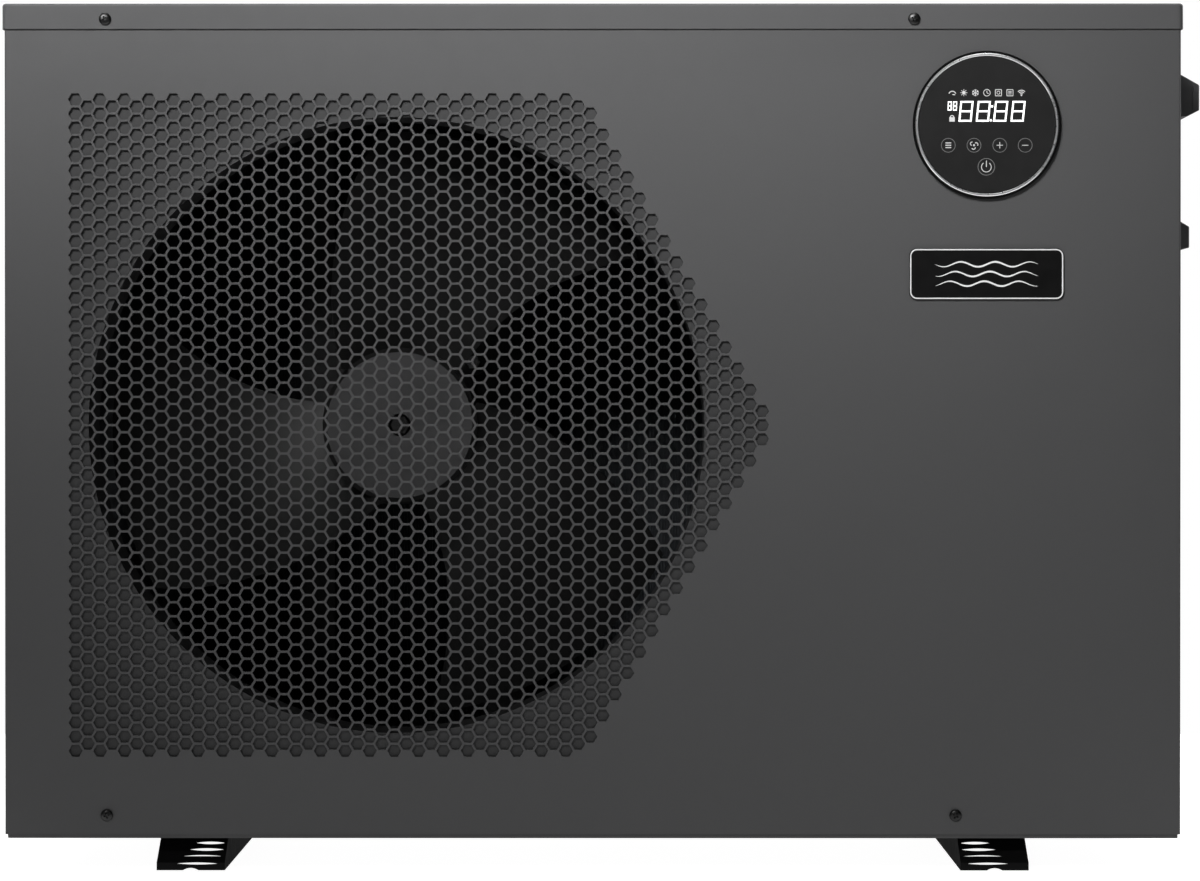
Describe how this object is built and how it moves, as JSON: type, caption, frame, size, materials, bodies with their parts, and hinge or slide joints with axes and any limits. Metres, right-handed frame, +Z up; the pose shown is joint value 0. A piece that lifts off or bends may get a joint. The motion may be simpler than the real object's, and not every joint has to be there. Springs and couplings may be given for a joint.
{
  "type": "swimming pool heat pump",
  "caption": "Box-shaped air-source pool heat pump with a perforated front grille over an axial fan, a round touch controller, foot rails and rear water unions.",
  "frame": {"origin": "on the floor, at the centre of the four anchor-bolt holes in the feet, midway between the front and rear panels", "axes": "+Z up, -Y out of the front panel, +X to the right as seen from the front"},
  "size_m": [0.9541, 0.4567, 0.6733],
  "materials": {
    "case_paint": "fine-grained satin powder coat, graphite grey",
    "pan_paint": "satin powder coat",
    "shroud_paint": "satin powder coat, darker than the case",
    "foot_plastic": "matt moulded black",
    "screw_black": "black-coated steel",
    "zinc": "zinc-plated",
    "galvanised": "galvanised sheet",
    "fan_plastic": "moulded glass-filled plastic",
    "motor_paint": "black enamel",
    "fin_aluminium": "fins with a dark epoxy coat, edge on",
    "copper": "drawn copper tube",
    "brass": "machined brass",
    "compressor_paint": "gloss black enamel",
    "grommet_rubber": "soft rubber",
    "vessel_plastic": "grey moulded PVC",
    "titanium": "titanium tube",
    "pipe_plastic": "grey PVC",
    "union_plastic": "black moulded plastic",
    "seal_rubber": "EPDM",
    "switch_plastic": "black plastic",
    "box_steel": "galvanised sheet",
    "board_green": "solder mask",
    "terminal_plastic": "moulded nylon",
    "sink_aluminium": "extruded",
    "bezel_black": "gloss black",
    "trim_chrome": "bright trim",
    "control_glass": "dark printed glass",
    "badge_black": "black anodised with a bright edge",
    "fitting_plastic": "grey moulded plastic",
    "gland_nylon": "black nylon"
  },
  "bodies": {
    "case": {"top_cover": "case_paint", "front_panel": "case_paint", "left_side_guard": "case_paint", "left_rear_post": "case_paint", "right_side_panel": "case_paint", "rear_guard": "case_paint", "rear_panel": "case_paint", "base_pan": "pan_paint", "foot_left": "foot_plastic", "foot_right": "foot_plastic", "hex_bolts": "zinc", "drain_nipple": "union_plastic", "case_screws": "screw_black", "partition_plate": "galvanised", "fan_shroud": "shroud_paint", "fan_motor": "motor_paint", "motor_bracket": "motor_paint", "evaporator_fins": "fin_aluminium", "coil_end_plates": "galvanised", "coil_return_bends": "copper", "gas_header": "copper", "liquid_manifold": "copper", "compressor": "compressor_paint", "compressor_grommets": "grommet_rubber", "compressor_bolts": "zinc", "accumulator": "compressor_paint", "exchanger_shell": "vessel_plastic", "titanium_coil": "titanium", "four_way_valve": "brass", "expansion_valve": "brass", "discharge_line": "copper", "suction_line": "copper", "gas_lines": "copper", "liquid_lines": "copper", "water_inlet_pipe": "pipe_plastic", "water_outlet_pipe": "pipe_plastic", "union_bodies": "union_plastic", "union_seals": "seal_rubber", "union_tails": "pipe_plastic", "flow_switch": "switch_plastic", "electrical_box": "box_steel", "electrical_box_lid": "box_steel", "inverter_board": "board_green", "terminal_block": "terminal_plastic", "heat_sink": "sink_aluminium", "controller_bezel": "bezel_black", "controller_trim_ring": "trim_chrome", "controller_glass": "control_glass", "controller_housing": "switch_plastic", "controller_board": "board_green", "badge_plate": "badge_black", "side_handle": "fitting_plastic", "cable_hood": "fitting_plastic", "cable_glands": "gland_nylon"},
    "fan": {"fan_impeller": "fan_plastic", "fan_shaft": "screw_black", "fan_nut": "screw_black"},
    "inlet_nut": {"inlet_union_nut": "union_plastic"},
    "outlet_nut": {"outlet_union_nut": "union_plastic"},
    "flow_paddle": {"flow_switch_paddle": "switch_plastic"}
  },
  "joints": [
    {"name": "fan_spin", "type": "hinge", "parent": "case", "child": "fan", "pos_m": [-0.1524, -0.1, 0.346], "axis": [0, -1, 0], "continuous": true},
    {"name": "inlet_nut_spin", "type": "hinge", "parent": "case", "child": "inlet_nut", "pos_m": [0.235, 0.21, 0.12], "axis": [0, 1, 0], "continuous": true},
    {"name": "outlet_nut_spin", "type": "hinge", "parent": "case", "child": "outlet_nut", "pos_m": [0.235, 0.21, 0.35], "axis": [0, 1, 0], "continuous": true},
    {"name": "paddle_swing", "type": "hinge", "parent": "case", "child": "flow_paddle", "pos_m": [0.235, 0.15, 0.15], "axis": [-1, 0, 0], "range_deg": [0, 20], "stiffness_Nm_per_rad": 0.01}
  ]
}
